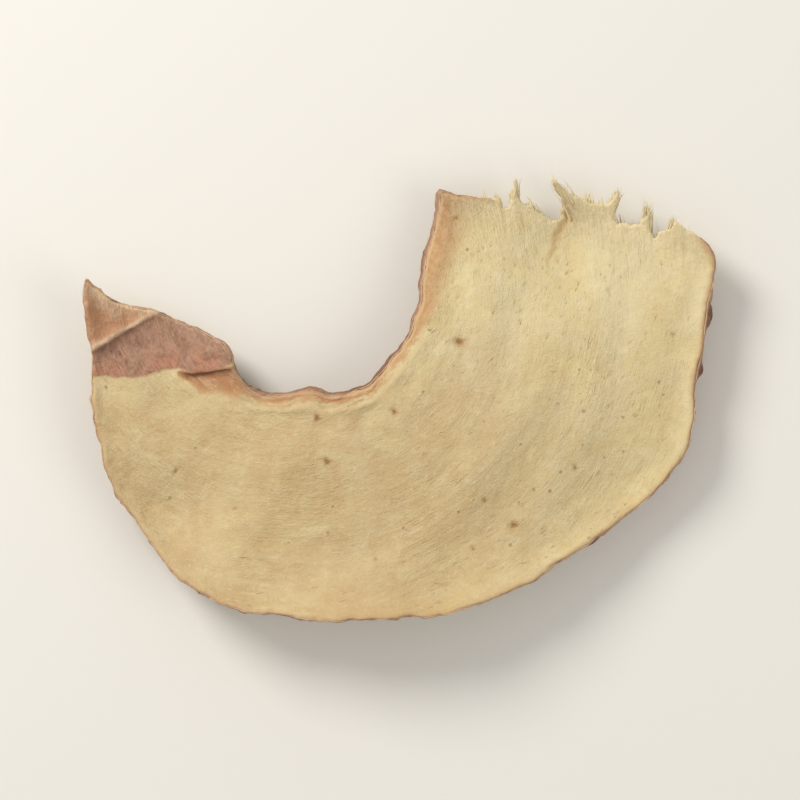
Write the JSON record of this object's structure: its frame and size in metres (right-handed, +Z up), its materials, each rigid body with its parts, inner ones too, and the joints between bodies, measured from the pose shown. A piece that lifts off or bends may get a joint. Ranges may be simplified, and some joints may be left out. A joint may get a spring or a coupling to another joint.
{
  "type": "dried galangal root slice",
  "caption": "Curved, gently domed slice of dried galangal root, straw-coloured, with a skin-covered horn, a bay and a torn fibre edge.",
  "frame": {"origin": "centre of the bounding box in plan, on the surface that the slice lies on", "axes": "+X along the slice's length towards the torn arm, +Y towards the torn edge, +Z up out of the cut face"},
  "size_m": [0.0512, 0.0356, 0.007],
  "materials": {
    "dried_root": "matt, fibrous, with thin brown skin"
  },
  "bodies": {
    "root": {"galangal_slice": "dried_root"}
  },
  "joints": []
}
